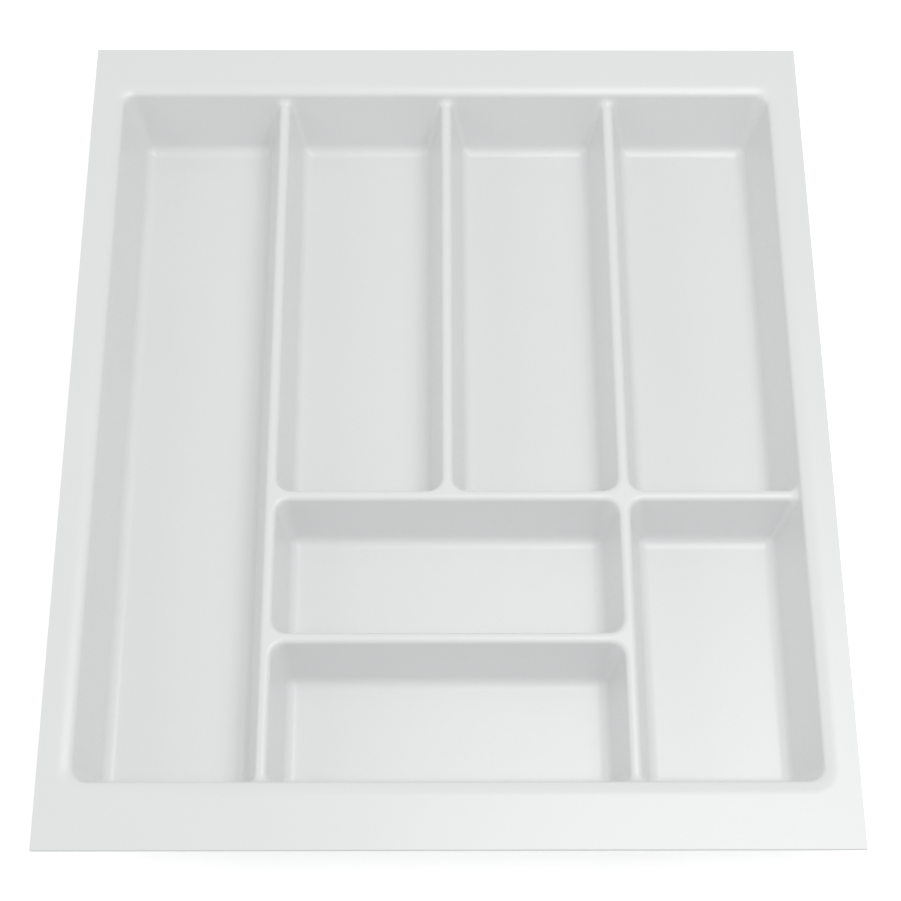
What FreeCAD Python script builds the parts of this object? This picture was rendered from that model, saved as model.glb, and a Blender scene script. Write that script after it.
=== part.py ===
import FreeCAD, Part
import math
import os
from FreeCAD import Vector

# A cutlery tray for a kitchen drawer, vacuum formed from one sheet of plastic.
# Millimetres. +Z is up, +Y points to the back of the drawer, and the origin
# lies on the drawer floor under the middle of the tray.

# Outside of the tray
tray_width = 411.0
tray_depth = 490.0
tray_height = 45.0
sheet = 2.0

# Flat rim, from the trimmed edge to the line where the walls turn down, and how far
# outside that line the rim is marked off from the wells
side_rim = 16.8
back_rim = 31.0
front_rim = 35.5
lip_strip = 8.0

# Wells: equal columns, and the depths of the two rows in front of the back wells
columns = 4
front_row = 80.8
middle_row = 82.6

# Lean of the outer walls and of the dividers' sides, in degrees from upright
wall_draft = 14.8
divider_draft = 11.4

# Crest of a divider: how far it lies under the rim, and the hollow left inside it
crest_drop = 5.5
crest_hollow = 2.0

# Rounding: corners of the wells on the upper skin, edges of the floors on both skins,
# and the lip on the lower skin
opening_corner_radius = 8.0
junction_radius = 8.0
floor_radius = 2.5
lip_hollow_radius = 1.25
floor_corner_share = 1.4
crest_round_share = 0.75
end_round_share = 0.8

# Extra length of solids that cut or fill, and how close two points count as one
overrun = 20.0
touch = 0.001
samples = 5

# Levels of the upper skin
rim_top = tray_height
crest_top = rim_top - crest_drop
floor_top = sheet

# The same leans as angles to reckon with
wall_lean = math.radians(wall_draft)
divider_lean = math.radians(divider_draft)

# Lines where the outer walls meet the rim, and the middle lines of the dividers
left = -tray_width / 2 + side_rim
right = tray_width / 2 - side_rim
front = -tray_depth / 2 + front_rim
back = tray_depth / 2 - back_rim
column_lines = [left + (right - left) * k / columns for k in range(columns + 1)]
first_line, middle_line, last_line = column_lines[1:columns]
lower_line = front + front_row
upper_line = lower_line + middle_row


def reach(lean):
    """Length along each face that a unit fillet takes, between a level face and a leaning one."""
    return math.tan((math.pi / 2 - lean) / 2)


# Sizes that follow from the ones above
crest_width = crest_hollow + 2 * sheet * reach(divider_lean)
crest_hollow_radius = crest_round_share * crest_hollow / 2 / reach(divider_lean)
lip_radius = lip_hollow_radius + sheet
lip_height = lip_radius * reach(wall_lean) * math.cos(wall_lean)
end_radius = end_round_share * (crest_drop - lip_height) / (reach(wall_lean) * math.cos(wall_lean))
floor_corner_radius = floor_corner_share * floor_radius

# The trimmed edge, and the flat seams where the rim is marked off from the wells
edge_x, edge_y = tray_width / 2, tray_depth / 2
seam_left, seam_right = left - lip_strip, right + lip_strip
seam_front, seam_back = front - lip_strip, back + lip_strip


def wall_inset(z, depth):
    """How far the outer wall has come in at height z, on the skin that lies depth under the upper one."""
    return (rim_top - z) * math.tan(wall_lean) - depth / math.cos(wall_lean)


def cavity(depth):
    """Space inside the four leaning outer walls, with sharp corners."""
    rings = []
    for z in (floor_top - depth, rim_top + overrun):
        inset = wall_inset(z, depth)
        x0, x1, y0, y1 = left + inset, right - inset, front + inset, back - inset
        rings.append([Vector(x0, y0, z), Vector(x1, y0, z), Vector(x1, y1, z), Vector(x0, y1, z)])
    low, high = rings
    outlines = [low, high]
    for k in range(len(low)):
        outlines.append([low[k - 1], low[k], high[k], high[k - 1]])
    faces = [Part.Face(Part.makePolygon(outline + outline[:1])) for outline in outlines]
    return Part.makeSolid(Part.makeShell(faces))


def ridge(start_x, start_y, end_x, end_y, depth):
    """One divider as a long solid with leaning sides and a flat crest."""
    start = Vector(start_x, start_y, 0)
    run = Vector(end_x, end_y, 0) - start
    side = Vector(-run.y, run.x, 0).normalize()
    crest = crest_top - depth
    foot = -depth - overrun

    def corner(z, hand):
        half = crest_width / 2 + (crest_top - z) * math.tan(divider_lean) - depth / math.cos(divider_lean)
        return start + side * (hand * half) + Vector(0, 0, z)

    outline = [corner(foot, 1), corner(crest, 1), corner(crest, -1), corner(foot, -1), corner(foot, 1)]
    return Part.Face(Part.makePolygon(outline)).extrude(run)


def points_along(edge):
    """A few points from one end of an edge to the other."""
    span = edge.LastParameter - edge.FirstParameter
    return [edge.valueAt(edge.FirstParameter + span * k / (samples - 1)) for k in range(samples)]


def is_level(edge, z):
    """Whether an edge lies at height z all along."""
    return all(abs(point.z - z) < touch for point in points_along(edge))


def on_outer_wall(edge, depth):
    """Whether an edge lies on one of the flat outer walls all along."""
    for point in points_along(edge):
        inset = wall_inset(point.z, depth)
        gaps_x = [abs(point.x - left - inset), abs(point.x - right + inset)]
        gaps_y = [abs(point.y - front - inset), abs(point.y - back + inset)]
        if min(gaps_x + gaps_y) > touch:
            return False
    return True


def round_uprights(body, depth, top, wide):
    """Round the corners that rise from the floor to a level top, wide there and tight at the floor."""
    floor = floor_top - depth
    rising, falling = [], []
    for edge in body.Edges:
        first, last = points_along(edge)[0].z, points_along(edge)[-1].z
        spans = abs(min(first, last) - floor) < touch and abs(max(first, last) - top) < touch
        if spans and (top > crest_top - depth + touch or not on_outer_wall(edge, depth)):
            (rising if first < last else falling).append(edge)
    tight = floor_corner_radius + depth
    body = body.makeFillet(tight, wide + depth, rising) if rising else body
    return body.makeFillet(wide + depth, tight, falling) if falling else body


def round_crests(body, depth):
    """Round both long edges of every crest."""
    edges = [e for e in body.Edges if is_level(e, crest_top - depth) and not on_outer_wall(e, depth)]
    return body.makeFillet(crest_hollow_radius + sheet - depth, edges)


def round_divider_ends(body, depth):
    """Round the line where the end of a divider meets an outer wall, over the crest and down both sides."""
    radius = floor_radius if depth else end_radius
    edges = []
    for edge in body.Edges:
        heights = [point.z for point in points_along(edge)]
        above_floor = max(heights) > floor_top - depth + touch
        below_rim = max(heights) < crest_top - depth + touch
        if above_floor and below_rim and on_outer_wall(edge, depth):
            edges.append(edge)
    return body.makeFillet(radius, edges)


def round_floors(body, depth):
    """Round the edge of every floor."""
    edges = [e for e in body.Edges if is_level(e, floor_top - depth)]
    return body.makeFillet(floor_radius, edges)


def round_lip(body, depth):
    """Round the edge where the rim turns down into the outer walls."""
    edges = []
    for edge in body.Edges:
        middle = edge.CenterOfMass
        inside = abs(middle.x) < tray_width / 2 - touch and abs(middle.y) < tray_depth / 2 - touch
        if inside and is_level(edge, rim_top - depth):
            edges.append(edge)
    return body.makeFillet(lip_hollow_radius + sheet - depth, edges)


def filled_form(depth):
    """Everything under the skin that lies depth under the upper skin, as one solid block."""
    margin = depth / sheet * overrun
    width, length = tray_width + 2 * margin, tray_depth + 2 * margin
    bottom = -overrun - margin
    corner = Vector(-width / 2, -length / 2, bottom)
    block = Part.makeBox(width, length, rim_top - depth - bottom, corner)
    dividers = [
        ridge(first_line, seam_front, first_line, seam_back, depth),
        ridge(middle_line, upper_line, middle_line, seam_back, depth),
        ridge(last_line, seam_front, last_line, seam_back, depth),
        ridge(first_line, upper_line, seam_right, upper_line, depth),
        ridge(first_line, lower_line, last_line, lower_line, depth),
    ]
    body = block.cut(cavity(depth)).fuse(dividers).removeSplitter().Solids[0]
    body = round_uprights(body, depth, rim_top - depth, opening_corner_radius)
    body = round_uprights(body, depth, crest_top - depth, junction_radius)
    body = round_crests(body, depth)
    body = round_divider_ends(body, depth)
    body = round_floors(body, depth)
    return round_lip(body, depth)


def stretch(tray, x0, x1, y0, y1):
    """The piece of the formed sheet that lies between four upright planes."""
    corner = Vector(x0, y0, -overrun)
    return tray.common(Part.makeBox(x1 - x0, y1 - y0, tray_height + 2 * overrun, corner))


formed_sheet = filled_form(0).cut(filled_form(sheet))

# Each named stretch of the sheet: its limits in X and in Y
stretches = {
    "rim_back": (-edge_x, edge_x, seam_back, edge_y),
    "rim_front": (-edge_x, edge_x, -edge_y, seam_front),
    "rim_left": (-edge_x, seam_left, seam_front, seam_back),
    "rim_right": (seam_right, edge_x, seam_front, seam_back),
    "long_well": (seam_left, first_line, seam_front, seam_back),
    "back_left_well": (first_line, middle_line, upper_line, seam_back),
    "back_middle_well": (middle_line, last_line, upper_line, seam_back),
    "back_right_well": (last_line, seam_right, upper_line, seam_back),
    "middle_cross_well": (first_line, last_line, lower_line, upper_line),
    "front_cross_well": (first_line, last_line, seam_front, lower_line),
    "front_right_well": (last_line, seam_right, seam_front, upper_line),
}

os.makedirs("parts", exist_ok=True)
for name, limits in stretches.items():
    stretch(formed_sheet, *limits).exportStep("parts/" + name + ".step")
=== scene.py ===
"""A cutlery tray for a kitchen drawer, formed from one sheet of satin white plastic.

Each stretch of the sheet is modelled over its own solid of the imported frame, in metres,
so that the stretches meet on flat lines of the rim and of the crests and show no seam.
"""
import logging
import math
from abc import ABC, abstractmethod
from collections.abc import Sequence
from dataclasses import dataclass, field
from enum import Enum

import bpy
import numpy as np
from mathutils import Matrix, Vector


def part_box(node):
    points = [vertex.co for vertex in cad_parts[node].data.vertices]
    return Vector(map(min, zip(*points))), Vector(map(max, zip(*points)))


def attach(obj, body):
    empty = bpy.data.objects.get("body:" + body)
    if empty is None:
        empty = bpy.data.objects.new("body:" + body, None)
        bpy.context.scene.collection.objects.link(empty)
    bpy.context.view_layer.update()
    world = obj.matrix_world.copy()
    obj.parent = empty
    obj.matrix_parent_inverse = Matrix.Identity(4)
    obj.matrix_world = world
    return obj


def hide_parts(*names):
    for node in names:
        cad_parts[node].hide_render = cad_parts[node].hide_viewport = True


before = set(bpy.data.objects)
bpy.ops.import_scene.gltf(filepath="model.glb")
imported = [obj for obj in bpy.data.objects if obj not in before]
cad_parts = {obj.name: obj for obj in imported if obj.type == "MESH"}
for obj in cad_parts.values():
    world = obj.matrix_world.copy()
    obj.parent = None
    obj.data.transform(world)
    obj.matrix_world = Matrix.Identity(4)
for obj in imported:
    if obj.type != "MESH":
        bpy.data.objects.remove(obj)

LOG = logging.getLogger("cutlery_tray")

# The body that every stretch rides on
BODY = "root"

# Farther in from a border than any point of the tray
FAR = 1.0

# How close two places count as one
TOUCH = 1e-6

# How often the span is halved in the search for the skin's height
HALVINGS = 45

# Colour sockets of a mix node: the first and second inputs, and the result
MIX_FIRST, MIX_SECOND, MIX_RESULT = 6, 7, 2


class Side(Enum):
    """What bounds a well on one of its four sides."""

    WALL = "outer wall, up to the rim"
    DIVIDER = "divider, up to its crest"


class Edge(Enum):
    """The four edges of a stretch of sheet, each by the axis that it lies across and its hand."""

    LEFT = (0, -1)
    RIGHT = (0, 1)
    FRONT = (1, -1)
    BACK = (1, 1)

    @property
    def axis(self) -> int:
        """The axis that the edge lies across: 0 for X, 1 for Y."""
        return self.value[0]

    @property
    def hand(self) -> int:
        """Which end of the axis the edge is at: -1 for the lower one, 1 for the upper one."""
        return self.value[1]


def borders_of(node: str) -> dict[Edge, float]:
    """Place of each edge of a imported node, on the axis that the edge lies across."""
    low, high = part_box(node)
    return {edge: (low if edge.hand < 0 else high)[edge.axis] for edge in Edge}


def rounded_min(first: np.ndarray, second: np.ndarray, radius: np.ndarray | float,
                cosine: float = 0.0) -> np.ndarray:
    """Lesser of two distances to faces, with the corner between the faces rounded hollow.

    Args:
        first: Distances to the first face.
        second: Distances to the second face.
        radius: Radius of the rounding.
        cosine: Cosine of the angle between the two faces' normals.

    Returns:
        Distances to the two faces and the rounding between them.
    """
    a, b = first - radius, second - radius
    in_round = (a < cosine * b) & (b < cosine * a)
    spread = np.sqrt(np.maximum(a * a + b * b - 2 * cosine * a * b, 0) / (1 - cosine * cosine))
    return np.where(in_round, radius - spread, np.minimum(first, second))


def rounded_max(first: np.ndarray, second: np.ndarray, radius: np.ndarray | float,
                cosine: float = 0.0) -> np.ndarray:
    """Greater of two distances to faces, with the edge between the faces rounded off."""
    return -rounded_min(-first, -second, radius, cosine)


@dataclass(frozen=True)
class Slope:
    """Profile of one side of a well, measured inwards from the border of its stretch.

    Attributes:
        edge: Distance to the line where the level top would meet the slope.
        top: Height of the level top.
        lean: Angle of the slope from upright.
        radius: Rounding between the level top and the slope.
        corner_radius: Rounding of the corner between two such slopes, at the top.
    """

    edge: float
    top: float
    lean: float
    radius: float
    corner_radius: float

    def distance(self, inwards: np.ndarray, z: np.ndarray) -> np.ndarray:
        """Distance of points from the slope, positive on the side of the well."""
        return (inwards - self.edge) * math.cos(self.lean) + (z - self.top) * math.sin(self.lean)


@dataclass(frozen=True)
class SheetForm:
    """Levels, leans and roundings that every stretch of the formed sheet shares.

    Attributes:
        rim_top: Height of the flat rim.
        crest_top: Height of the dividers' crests.
        floor_top: Height of the floors.
        thickness: Thickness of the sheet.
        wall_lean: Lean of the outer walls, from upright.
        divider_lean: Lean of the dividers' sides, from upright.
        lip_inset: From the seam of the rim in to the line where the wall would meet the rim.
        lip_radius: Rounding of the lip, where the crown turns down into the wall.
        crown_lean: How far the crown, the inner margin of the rim, bends down from level.
        crown_inset: From the line where that bend would start in to the line of the wall.
        crown_radius: Rounding of that bend.
        crest_settle: How far the crests lie under the crests of the solids.
        crest_half: Half the width of a crest, up to where its edges would be without rounding.
        crest_radius: Rounding of the edges of a crest.
        floor_radius: Rounding between a floor and what rises from it.
        end_radius: Rounding between the end of a divider and an outer wall.
        opening_corner_radius: Rounding of the corners of the wells, at the rim.
        junction_radius: Rounding of the corners between dividers, at the crests.
        floor_corner_radius: Rounding of all these corners, at the floor.
        round_steps: Steps of a rounding.
        lip_step: Spacing of the rows of vertices on the crown and the lip.
        slope_step: Spacing of the rows on a slope.
        level_step: Spacing of the rows on a floor.
        level_guards: Distances of the first few rows on a floor from its rounding.
    """

    rim_top: float
    crest_top: float
    floor_top: float
    thickness: float
    wall_lean: float = math.radians(14.8)
    divider_lean: float = math.radians(11.4)
    lip_inset: float = 0.0080
    lip_radius: float = 0.0035
    crown_lean: float = math.radians(22)
    crown_inset: float = 0.0043
    crown_radius: float = 0.0175
    crest_settle: float = 0.0014
    crest_half: float = 0.0027
    crest_radius: float = 0.00297
    floor_radius: float = 0.0070
    end_radius: float = 0.0050
    opening_corner_radius: float = 0.0080
    junction_radius: float = 0.0080
    floor_corner_radius: float = 0.0045
    round_steps: int = 10
    lip_step: float = 0.0003
    slope_step: float = 0.0008
    level_step: float = 0.010
    level_guards: tuple[float, ...] = (0.0005, 0.0012, 0.0025, 0.0050)

    @classmethod
    def from_frame(cls) -> "SheetForm":
        """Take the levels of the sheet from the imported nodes.

        Returns:
            The form of this tray.
        """
        rim_low, rim_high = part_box("rim_back")
        crest_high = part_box("middle_cross_well")[1]
        thickness = rim_high.z - rim_low.z
        return cls(rim_top=rim_high.z, crest_top=crest_high.z - cls.crest_settle,
                   floor_top=thickness, thickness=thickness)

    def slope(self, side: Side) -> Slope:
        """Profile of the sheet on one kind of side.

        Args:
            side: The kind of side.

        Returns:
            The profile, from the border of the stretch inwards.
        """
        if side is Side.WALL:
            return Slope(edge=self.lip_inset, top=self.rim_top, lean=self.wall_lean,
                         radius=self.lip_radius, corner_radius=self.opening_corner_radius)
        return Slope(edge=self.crest_half, top=self.crest_top, lean=self.divider_lean,
                     radius=self.crest_radius, corner_radius=self.junction_radius)

    def corner_radius(self, side: Side, z: np.ndarray) -> np.ndarray:
        """Radius of an upright corner, which tightens towards the floor.

        Args:
            side: The kind of side on both hands of the corner.
            z: Heights at which the radius is wanted.

        Returns:
            The radius at each height.
        """
        slope = self.slope(side)
        share = np.clip((z - self.floor_top) / (slope.top - self.floor_top), 0, 1)
        return self.floor_corner_radius + share * (slope.corner_radius - self.floor_corner_radius)

    def crown(self, inwards: np.ndarray, z: np.ndarray) -> np.ndarray:
        """Distance of points from the crown, where the rim starts to bend down to the lip.

        Args:
            inwards: Distances in from the border of the stretch.
            z: Heights.

        Returns:
            The distances, positive above the crown.
        """
        past_bend = inwards - (self.lip_inset - self.crown_inset)
        over_rim = z - self.rim_top
        return past_bend * math.sin(self.crown_lean) + over_rim * math.cos(self.crown_lean)

    def rows(self, side: Side) -> np.ndarray:
        """Distances in from the border at which the sheet has a row of vertices.

        Args:
            side: The kind of side.

        Returns:
            Rising distances, from the border to the level floor.
        """
        slope = self.slope(side)
        # The bend between level and the slope, the length of either face that a rounding of
        # radius 1 takes up there, and how far out each of its steps lies
        turn = math.pi / 2 - slope.lean
        reach = math.tan(turn / 2)
        bow = np.sin(np.linspace(0, turn, self.round_steps + 1))
        if side is Side.WALL:
            crown_reach = self.crown_radius * math.tan(self.crown_lean / 2)
            start = slope.edge - self.crown_inset - crown_reach
            end = slope.edge + slope.radius / 2
            top_round = np.linspace(start, end, round((end - start) / self.lip_step) + 1)
        else:
            top_round = slope.edge - slope.radius * reach + slope.radius * bow
        foot = slope.edge + (slope.top - self.floor_top) * math.tan(slope.lean)
        floor_start = foot + self.floor_radius * reach
        floor_round = floor_start - self.floor_radius * bow[::-1]
        count = max(2, round((floor_round[0] - top_round[-1]) / self.slope_step))
        incline = np.linspace(top_round[-1], floor_round[0], count + 1)[1:-1]
        level = floor_start + np.array(self.level_guards)
        return np.concatenate([[0.0], top_round, incline, floor_round, level])


class NodeGraph:
    """Short forms for adding and joining shader nodes."""

    def __init__(self, tree: bpy.types.NodeTree) -> None:
        """Keep the tree that nodes are added to."""
        self.tree = tree

    def fill(self, socket: bpy.types.NodeSocket, value: object) -> None:
        """Set an input to a value, or join it to another node's output.

        Args:
            socket: The input.
            value: The value, or the output that it is joined to.
        """
        if isinstance(value, bpy.types.NodeSocket):
            self.tree.links.new(value, socket)
        else:
            socket.default_value = value

    def add(self, kind: str, **inputs: object) -> bpy.types.Node:
        """Add a node and fill its inputs.

        Args:
            kind: The node's type name.
            inputs: Values or sockets for inputs, by name with _ for a space.

        Returns:
            The new node.
        """
        node = self.tree.nodes.new(kind)
        for name, value in inputs.items():
            self.fill(node.inputs[name.replace("_", " ")], value)
        return node

    def reckon(self, operation: str, first: object, second: object) -> bpy.types.NodeSocket:
        """Add a node that reckons with two numbers.

        Args:
            operation: The name of the operation.
            first: The first value or socket.
            second: The second value or socket.

        Returns:
            The result.
        """
        node = self.tree.nodes.new("ShaderNodeMath")
        node.operation = operation
        self.fill(node.inputs[0], first)
        self.fill(node.inputs[1], second)
        return node.outputs["Value"]


def bare_material(name: str) -> tuple[bpy.types.Material, NodeGraph]:
    """Make a material that has no nodes yet.

    Args:
        name: Name of the material.

    Returns:
        The material, and the graph to add its nodes to.
    """
    made = bpy.data.materials.new(name)
    made.use_nodes = True
    made.node_tree.nodes.clear()
    return made, NodeGraph(made.node_tree)


@dataclass(frozen=True)
class NoiseLayer:
    """One layer of unevenness in the sheet.

    Attributes:
        name: Name of the layer.
        detail: How many times it is broken up finer.
        roughness: How strong the finer parts are.
    """

    name: str
    detail: float
    roughness: float


class SheetGrain:
    """Fine grain and faint cloudiness of rolled plastic sheet, shared by all finishes."""

    grain = NoiseLayer("Grain", detail=2.0, roughness=0.6)
    cloud = NoiseLayer("Cloud", detail=3.0, roughness=0.5)

    def __init__(self) -> None:
        """Build the node group once."""
        self.tree = bpy.data.node_groups.new("sheet_grain", "ShaderNodeTree")
        sockets = self.tree.interface
        sockets.new_socket("Vector", in_out="INPUT", socket_type="NodeSocketVector")
        for layer in (self.grain, self.cloud):
            sockets.new_socket(f"{layer.name} Scale", in_out="INPUT", socket_type="NodeSocketFloat")
            sockets.new_socket(layer.name, in_out="OUTPUT", socket_type="NodeSocketFloat")
        graph = NodeGraph(self.tree)
        given = graph.add("NodeGroupInput")
        out = graph.add("NodeGroupOutput")
        for layer in (self.grain, self.cloud):
            noise = graph.add("ShaderNodeTexNoise", Vector=given.outputs["Vector"],
                              Scale=given.outputs[f"{layer.name} Scale"], Detail=layer.detail,
                              Roughness=layer.roughness)
            graph.fill(out.inputs[layer.name], noise.outputs["Fac"])

    def place(self, graph: NodeGraph, grain_scale: float, cloud_scale: float) -> bpy.types.Node:
        """Place the group in a material.

        Args:
            graph: The material's nodes.
            grain_scale: Grains to the metre.
            cloud_scale: Cloudy patches to the metre.

        Returns:
            The group's node.
        """
        coordinates = graph.add("ShaderNodeTexCoord")
        node = graph.add("ShaderNodeGroup")
        node.node_tree = self.tree
        graph.fill(node.inputs["Vector"], coordinates.outputs["Object"])
        graph.fill(node.inputs["Grain Scale"], grain_scale)
        graph.fill(node.inputs["Cloud Scale"], cloud_scale)
        return node


@dataclass(frozen=True)
class Finish:
    """A finish of the white plastic.

    Attributes:
        name: Name of the material.
        light: Colour of the paler patches.
        dark: Colour of the darker patches.
        smooth: Roughness where the grain is smooth.
        rough: Roughness where the grain is coarse.
        grain_scale: Grains to the metre.
        cloud_scale: Cloudy patches to the metre.
        grain_depth: Height of the grain, in metres.
        grain_low: Value of the grain that counts as smooth.
        grain_high: Value of the grain that counts as coarse.
        refraction: Index of refraction of the plastic.
    """

    name: str
    light: tuple[float, float, float]
    dark: tuple[float, float, float]
    smooth: float
    rough: float
    grain_scale: float
    cloud_scale: float
    grain_depth: float
    grain_low: float = 0.3
    grain_high: float = 0.7
    refraction: float = 1.59

    def material(self, grain: SheetGrain) -> bpy.types.Material:
        """Build the material.

        Args:
            grain: The shared grain.

        Returns:
            The material.
        """
        made, graph = bare_material(self.name)
        texture = grain.place(graph, self.grain_scale, self.cloud_scale)
        tone = graph.add("ShaderNodeMix")
        tone.data_type = "RGBA"
        graph.fill(tone.inputs["Factor"], texture.outputs["Cloud"])
        graph.fill(tone.inputs[MIX_FIRST], (*self.dark, 1))
        graph.fill(tone.inputs[MIX_SECOND], (*self.light, 1))
        gloss = graph.add("ShaderNodeMapRange", Value=texture.outputs["Grain"],
                          From_Min=self.grain_low, From_Max=self.grain_high, To_Min=self.smooth,
                          To_Max=self.rough)
        bump = graph.add("ShaderNodeBump", Height=texture.outputs["Grain"], Strength=1.0,
                         Distance=self.grain_depth)
        shader = graph.add("ShaderNodeBsdfPrincipled", Base_Color=tone.outputs[MIX_RESULT],
                           Roughness=gloss.outputs["Result"], Normal=bump.outputs["Normal"],
                           IOR=self.refraction)
        graph.add("ShaderNodeOutputMaterial", Surface=shader.outputs["BSDF"])
        return made


SATIN_SKIN = Finish("satin_white_plastic", light=(0.80, 0.815, 0.812), dark=(0.78, 0.795, 0.792),
                    smooth=0.27, rough=0.33, grain_scale=1300, cloud_scale=14,
                    grain_depth=0.00001)
TRIMMED_EDGE = Finish("trimmed_white_plastic", light=(0.78, 0.80, 0.795),
                      dark=(0.74, 0.76, 0.755), smooth=0.50, rough=0.65, grain_scale=900,
                      cloud_scale=60, grain_depth=0.00004)


@dataclass(frozen=True)
class Finishes:
    """The materials that a stretch can wear.

    Attributes:
        skin: The finish of the formed skin.
        cut: The finish of the trimmed edge.
    """

    skin: bpy.types.Material
    cut: bpy.types.Material


def set_on_frame(piece: bpy.types.Object, node: str) -> None:
    """Let a piece ride on the tray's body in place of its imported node.

    Args:
        piece: The mesh object.
        node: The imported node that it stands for.
    """
    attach(piece, BODY)
    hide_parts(node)
    LOG.info("%s: %d faces", piece.name, len(piece.data.polygons))


@dataclass
class Stretch(ABC):
    """A stretch of the formed sheet.

    Attributes:
        node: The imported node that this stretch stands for.
        borders: Place of each of its edges, on the axis that the edge lies across.
    """

    node: str
    borders: dict[Edge, float] = field(init=False)

    def __post_init__(self) -> None:
        """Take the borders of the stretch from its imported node."""
        self.borders = borders_of(self.node)

    def named_piece(self) -> bpy.types.Object:
        """Give the mesh that was added last the node's name.

        Returns:
            The mesh object.
        """
        piece = bpy.context.object
        piece.name = piece.data.name = self.node + "_skin"
        return piece

    @abstractmethod
    def build(self) -> bpy.types.Object:
        """Make the mesh of the stretch."""

    @abstractmethod
    def dress(self, piece: bpy.types.Object, finishes: Finishes) -> None:
        """Put the finishes on the stretch and set it on the frame."""


@dataclass
class Well(Stretch):
    """One well with its share of the crests and of the lip round it.

    Attributes:
        form: The form that all stretches share.
        sides: What bounds the well on each edge.
        smooth_angle: Faces that meet at less than this angle are shaded as one.
    """

    form: SheetForm
    sides: dict[Edge, Side]
    smooth_angle: float = math.radians(40)

    def axis_rows(self, low: Edge, high: Edge) -> np.ndarray:
        """Places of the rows of vertices along one axis.

        Args:
            low: The edge at the lower end of the axis.
            high: The edge at the upper end of the axis.

        Returns:
            Rising places from border to border.
        """
        start = self.borders[low] + self.form.rows(self.sides[low])
        end = self.borders[high] - self.form.rows(self.sides[high])[::-1]
        count = max(1, round((end[0] - start[-1]) / self.form.level_step))
        level = np.linspace(start[-1], end[0], count + 1)[1:-1]
        return np.concatenate([start, level, end])

    def inwards(self, kind: Side, x: np.ndarray, y: np.ndarray) -> list[np.ndarray]:
        """Distances of points in from the nearest sides of one kind.

        Args:
            kind: The kind of side.
            x: Places across the tray.
            y: Places along the tray.

        Returns:
            The distances along each axis, which are far where no such side lies across it.
        """
        nearest = [np.full(x.shape, FAR), np.full(x.shape, FAR)]
        for edge, side in self.sides.items():
            if side is kind:
                gap = edge.hand * (self.borders[edge] - (x, y)[edge.axis])
                nearest[edge.axis] = np.minimum(nearest[edge.axis], gap)
        return nearest

    def slopes(self, kind: Side, x: np.ndarray, y: np.ndarray, z: np.ndarray) -> np.ndarray:
        """Distance of points from the slopes of one kind and the corners between them.

        Args:
            kind: The kind of side.
            x: Places across the tray.
            y: Places along the tray.
            z: Heights.

        Returns:
            The distances, positive on the side of the well.
        """
        slope = self.form.slope(kind)
        first, second = (slope.distance(gap, z) for gap in self.inwards(kind, x, y))
        return rounded_min(first, second, self.form.corner_radius(kind, z))

    def clearance(self, x: np.ndarray, y: np.ndarray, z: np.ndarray) -> np.ndarray:
        """Distance of points from the upper skin, positive above it.

        Args:
            x: Places across the tray.
            y: Places along the tray.
            z: Heights.

        Returns:
            The distances.
        """
        form = self.form
        in_plan = rounded_min(*self.inwards(Side.WALL, x, y),
                              form.lip_inset + form.opening_corner_radius)
        lip = rounded_max(self.slopes(Side.WALL, x, y, z), form.crown(in_plan, z),
                          form.lip_radius, math.sin(form.wall_lean + form.crown_lean))
        lip = rounded_max(lip, z - form.rim_top, form.crown_radius, math.cos(form.crown_lean))
        divider = rounded_max(self.slopes(Side.DIVIDER, x, y, z), z - form.crest_top,
                              form.crest_radius, math.sin(form.divider_lean))
        wall_cosine = math.sin(form.wall_lean)
        above = rounded_min(divider, lip, form.end_radius, wall_cosine)
        return rounded_min(above, z - form.floor_top, form.floor_radius, wall_cosine)

    def heights(self, x: np.ndarray, y: np.ndarray) -> np.ndarray:
        """Heights of the upper skin, found by halving.

        Args:
            x: Places across the tray.
            y: Places along the tray.

        Returns:
            The height of the skin at each place.
        """
        low = np.zeros(x.shape)
        high = np.full(x.shape, self.form.rim_top + self.form.thickness)
        for _ in range(HALVINGS):
            middle = (low + high) / 2
            clear = self.clearance(x, y, middle) > 0
            high = np.where(clear, middle, high)
            low = np.where(clear, low, middle)
        return high

    def press(self, piece: bpy.types.Object, xs: np.ndarray, ys: np.ndarray) -> None:
        """Spread a flat grid, one metre square, over the stretch and press it to the form.

        Args:
            piece: The grid.
            xs: Places of its columns across the tray.
            ys: Places of its rows along the tray.
        """
        vertices = piece.data.vertices
        flat = np.empty((len(vertices), 3))
        vertices.foreach_get("co", flat.ravel())
        shares = flat - flat.min(axis=0)
        x = xs[np.rint(shares[:, 0] * (len(xs) - 1)).astype(int)]
        y = ys[np.rint(shares[:, 1] * (len(ys) - 1)).astype(int)]
        pressed = np.column_stack([x, y, self.heights(x, y)])
        vertices.foreach_set("co", pressed.ravel())
        piece.data.update()

    def thicken(self, piece: bpy.types.Object) -> None:
        """Give the pressed skin the thickness of the sheet, all of it on the under side.

        Args:
            piece: The pressed skin.
        """
        bpy.ops.object.modifier_add(type="SOLIDIFY")
        wall = piece.modifiers[-1]
        wall.thickness = self.form.thickness
        wall.offset = -1
        wall.use_quality_normals = True
        bpy.ops.object.modifier_apply(modifier=wall.name)

    def build(self) -> bpy.types.Object:
        """Lay a grid over the stretch, press it to the form and give it the sheet's thickness.

        Returns:
            The finished mesh object.
        """
        xs = self.axis_rows(Edge.LEFT, Edge.RIGHT)
        ys = self.axis_rows(Edge.FRONT, Edge.BACK)
        bpy.ops.object.select_all(action="DESELECT")
        bpy.ops.mesh.primitive_grid_add(x_subdivisions=len(xs) - 1, y_subdivisions=len(ys) - 1,
                                        size=1)
        piece = self.named_piece()
        self.press(piece, xs, ys)
        self.thicken(piece)
        bpy.ops.object.shade_smooth_by_angle(angle=self.smooth_angle)
        return piece

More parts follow.
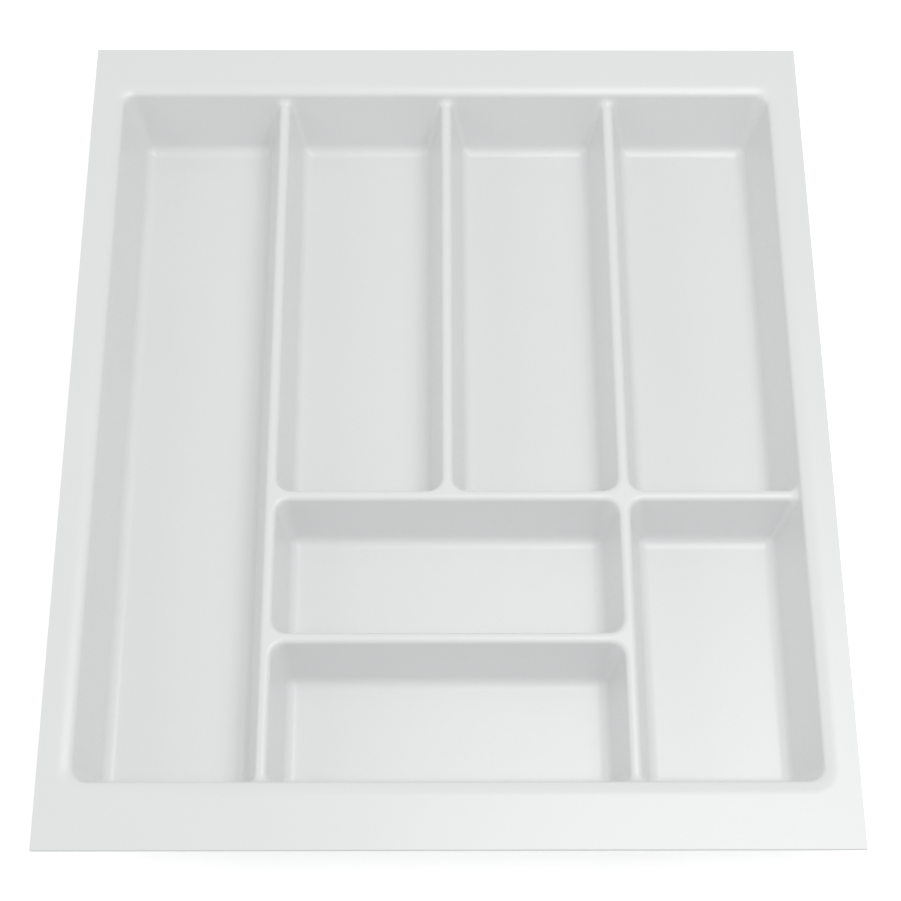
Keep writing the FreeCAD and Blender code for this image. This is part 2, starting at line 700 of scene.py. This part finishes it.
    def dress(self, piece: bpy.types.Object, finishes: Finishes) -> None:
        """Put the finish of the skin on the well and set it on the frame."""
        piece.data.materials.append(finishes.skin)
        set_on_frame(piece, self.node)


@dataclass
class RimStrip(Stretch):
    """One flat strip of the rim, with its trimmed outer edge.

    Attributes:
        trimmed: The edges of the strip that were cut when the tray was trimmed.
        break_radius: Rounding of the arrises of the cut.
        break_steps: Steps of that rounding.
    """

    trimmed: tuple[Edge, ...]
    break_radius: float = 0.00025
    break_steps: int = 3

    def along(self, edges: Sequence[Edge], points: Sequence[Vector]) -> bool:
        """Whether all the points lie on one and the same of these edges of the strip."""
        return any(all(abs(point[edge.axis] - self.borders[edge]) < TOUCH for point in points)
                   for edge in edges)

    def break_arrises(self, piece: bpy.types.Object) -> None:
        """Round the arrises of the trimmed edges, and leave the seams with the neighbours square.

        Args:
            piece: The strip.
        """
        seams = [edge for edge in Edge if edge not in self.trimmed]
        arrises = []
        for line in piece.data.edges:
            ends = [piece.data.vertices[k].co for k in line.vertices]
            arrises.append(self.along(self.trimmed, ends) and not self.along(seams, ends))
        bpy.ops.object.mode_set(mode="EDIT")
        bpy.ops.mesh.select_mode(type="EDGE")
        bpy.ops.mesh.select_all(action="DESELECT")
        bpy.ops.object.mode_set(mode="OBJECT")
        piece.data.edges.foreach_set("select", arrises)
        bpy.ops.object.mode_set(mode="EDIT")
        bpy.ops.mesh.bevel(offset=self.break_radius, segments=self.break_steps, affect="EDGES")
        bpy.ops.object.mode_set(mode="OBJECT")

    def build(self) -> bpy.types.Object:
        """Cut the strip to size and break the arrises of its trimmed edges.

        Returns:
            The finished mesh object.
        """
        low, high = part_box(self.node)
        bpy.ops.object.select_all(action="DESELECT")
        bpy.ops.mesh.primitive_cube_add(size=1, location=(low + high) / 2, scale=high - low)
        piece = self.named_piece()
        bpy.ops.object.transform_apply(location=True, rotation=True, scale=True)
        self.break_arrises(piece)
        bpy.ops.object.shade_flat()
        return piece

    def dress(self, piece: bpy.types.Object, finishes: Finishes) -> None:
        """Put the finishes on the strip and set it on the frame.

        Args:
            piece: The mesh object.
            finishes: The finishes of the flat faces and of the trimmed edge.
        """
        piece.data.materials.append(finishes.skin)
        piece.data.materials.append(finishes.cut)
        cut_index = piece.data.materials.find(finishes.cut.name)
        for face in piece.data.polygons:
            if self.along(self.trimmed, [face.center]):
                face.material_index = cut_index
        set_on_frame(piece, self.node)


@dataclass(frozen=True)
class Lamp:
    """A soft lamp that faces the tray, with its width level.

    Attributes:
        name: Name of the lamp.
        place: Where it hangs.
        width: Its level side.
        depth: Its other side.
        power: Its power in watts.
    """

    name: str
    place: tuple[float, float, float]
    width: float
    depth: float
    power: float

    def hang(self) -> None:
        """Hang the lamp and turn it to the middle of the tray."""
        light = bpy.data.lights.new(self.name, "AREA")
        light.shape = "RECTANGLE"
        light.size = self.width
        light.size_y = self.depth
        light.energy = self.power
        hung = bpy.data.objects.new(self.name, light)
        bpy.context.collection.objects.link(hung)
        hung.location = self.place
        hung.rotation_mode = "QUATERNION"
        hung.rotation_quaternion = (-Vector(self.place)).to_track_quat("-Z", "Y")


@dataclass(frozen=True)
class CameraStand:
    """The camera, which stands where the tray's edges fall as they do in the photograph.

    Attributes:
        place: Where it stands.
        pitch: How far it looks down from level.
        yaw: How far it looks to the right of the tray's length.
        roll: How far it is turned about its line of sight.
        focal_length: Focal length of the lens, in millimetres.
        sensor_width: Width of the sensor, in millimetres.
    """

    place: tuple[float, float, float] = (-0.0076, -0.5999, 1.1265)
    pitch: float = math.radians(61.93)
    yaw: float = math.radians(0.91)
    roll: float = math.radians(-0.79)
    focal_length: float = 91.43
    sensor_width: float = 36.0

    def set_up(self) -> None:
        """Set the camera up and look through it."""
        ahead = Vector((math.sin(self.yaw) * math.cos(self.pitch),
                        math.cos(self.yaw) * math.cos(self.pitch), -math.sin(self.pitch)))
        right = Vector((math.cos(self.yaw), -math.sin(self.yaw), 0))
        down = ahead.cross(right)
        across = right * math.cos(self.roll) + down * math.sin(self.roll)
        up = right * math.sin(self.roll) - down * math.cos(self.roll)
        seat = Matrix((across, up, -ahead)).transposed().to_4x4()
        seat.translation = self.place
        lens = bpy.data.cameras.new("camera")
        lens.sensor_width = self.sensor_width
        lens.lens = self.focal_length
        camera = bpy.data.objects.new("camera", lens)
        camera.matrix_world = seat
        bpy.context.collection.objects.link(camera)
        bpy.context.scene.camera = camera


@dataclass
class Studio:
    """White floor, soft light and the camera.

    Attributes:
        floor_size: Side of the floor.
        floor_drop: How far the floor lies under the tray, so that the two don't share a plane.
        floor_tone: How much light the floor gives back.
        floor_lift: Light added to the floor for the camera, so that it shows white.
        sky: Strength of the light from all round.
        backdrop: Strength of the sky where it is seen, so that it shows white.
        lamps: The lamps.
        camera: The camera.
    """

    floor_size: float = 12.0
    floor_drop: float = 0.0002
    floor_tone: float = 0.85
    floor_lift: float = 0.5
    sky: float = 0.593
    backdrop: float = 1.0
    lamps: tuple[Lamp, ...] = (
        Lamp("key_lamp", place=(0.34, 0.14, 1.52), width=0.65, depth=0.65, power=4.6),
        Lamp("front_lamp", place=(0.5, -0.50, 1.45), width=1.0, depth=0.35, power=3.9),
        Lamp("left_lamp", place=(-1.5, 0, 1.0), width=1.0, depth=1.0, power=3.1),
    )
    camera: CameraStand = CameraStand()

    @staticmethod
    def seen(graph: NodeGraph) -> bpy.types.NodeSocket:
        """Mask that is 1 for what the camera, a gloss or a clear body sees.

        Args:
            graph: The nodes that the mask is added to.

        Returns:
            The mask.
        """
        path = graph.add("ShaderNodeLightPath")
        mask = path.outputs["Is Camera Ray"]
        for name in ("Is Glossy Ray", "Is Transmission Ray"):
            mask = graph.reckon("MAXIMUM", mask, path.outputs[name])
        return mask

    def lay_floor(self) -> None:
        """Lay the pale floor, which keeps the tray's shadow."""
        bpy.ops.object.select_all(action="DESELECT")
        bpy.ops.mesh.primitive_plane_add(size=self.floor_size, location=(0, 0, -self.floor_drop))
        floor = bpy.context.object
        floor.name = "floor"
        made, graph = bare_material("floor_white")
        tone = self.floor_tone
        matt = graph.add("ShaderNodeBsdfDiffuse", Color=(tone, tone, tone, 1))
        lift = graph.reckon("MULTIPLY", self.seen(graph), self.floor_lift)
        glow = graph.add("ShaderNodeEmission", Strength=lift)
        both = graph.add("ShaderNodeAddShader")
        graph.fill(both.inputs[0], matt.outputs["BSDF"])
        graph.fill(both.inputs[1], glow.outputs["Emission"])
        graph.add("ShaderNodeOutputMaterial", Surface=both.outputs["Shader"])
        floor.data.materials.append(made)

    def light_sky(self) -> None:
        """Light the scene from all round, with a white background."""
        world = bpy.data.worlds.new("studio")
        bpy.context.scene.world = world
        world.use_nodes = True
        world.node_tree.nodes.clear()
        graph = NodeGraph(world.node_tree)
        strength = graph.add("ShaderNodeMapRange", Value=self.seen(graph), To_Min=self.sky,
                             To_Max=self.backdrop)
        sky = graph.add("ShaderNodeBackground", Color=(1, 1, 1, 1),
                        Strength=strength.outputs["Result"])
        graph.add("ShaderNodeOutputWorld", Surface=sky.outputs["Background"])

    def build(self) -> None:
        """Lay the floor, light the scene and set the camera up."""
        self.lay_floor()
        self.light_sky()
        for lamp in self.lamps:
            lamp.hang()
        self.camera.set_up()


def stretches(form: SheetForm) -> list[Stretch]:
    """All the stretches of the sheet.

    Args:
        form: The form that the wells share.

    Returns:
        The wells and the strips of the rim.
    """
    wall, divider = Side.WALL, Side.DIVIDER
    # What bounds each well on its left, right, front and back, in the order of Edge
    wells = {
        "long_well": (wall, divider, wall, wall),
        "back_left_well": (divider, divider, divider, wall),
        "back_middle_well": (divider, divider, divider, wall),
        "back_right_well": (divider, wall, divider, wall),
        "middle_cross_well": (divider, divider, divider, divider),
        "front_cross_well": (divider, divider, wall, divider),
        "front_right_well": (divider, wall, wall, divider),
    }
    # The trimmed edges of each strip of the rim
    strips = {
        "rim_back": (Edge.LEFT, Edge.RIGHT, Edge.BACK),
        "rim_front": (Edge.LEFT, Edge.RIGHT, Edge.FRONT),
        "rim_left": (Edge.LEFT,),
        "rim_right": (Edge.RIGHT,),
    }
    return [
        *(Well(node, form, dict(zip(Edge, sides))) for node, sides in wells.items()),
        *(RimStrip(node, trimmed) for node, trimmed in strips.items()),
    ]


def main() -> None:
    """Build the tray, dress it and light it."""
    logging.basicConfig(level=logging.INFO, format="%(name)s: %(message)s")
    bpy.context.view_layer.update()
    grain = SheetGrain()
    finishes = Finishes(skin=SATIN_SKIN.material(grain), cut=TRIMMED_EDGE.material(grain))
    for stretch in stretches(SheetForm.from_frame()):
        stretch.dress(stretch.build(), finishes)
    Studio().build()
    bpy.context.scene.view_settings.view_transform = "Standard"


if __name__ == "__main__":
    main()
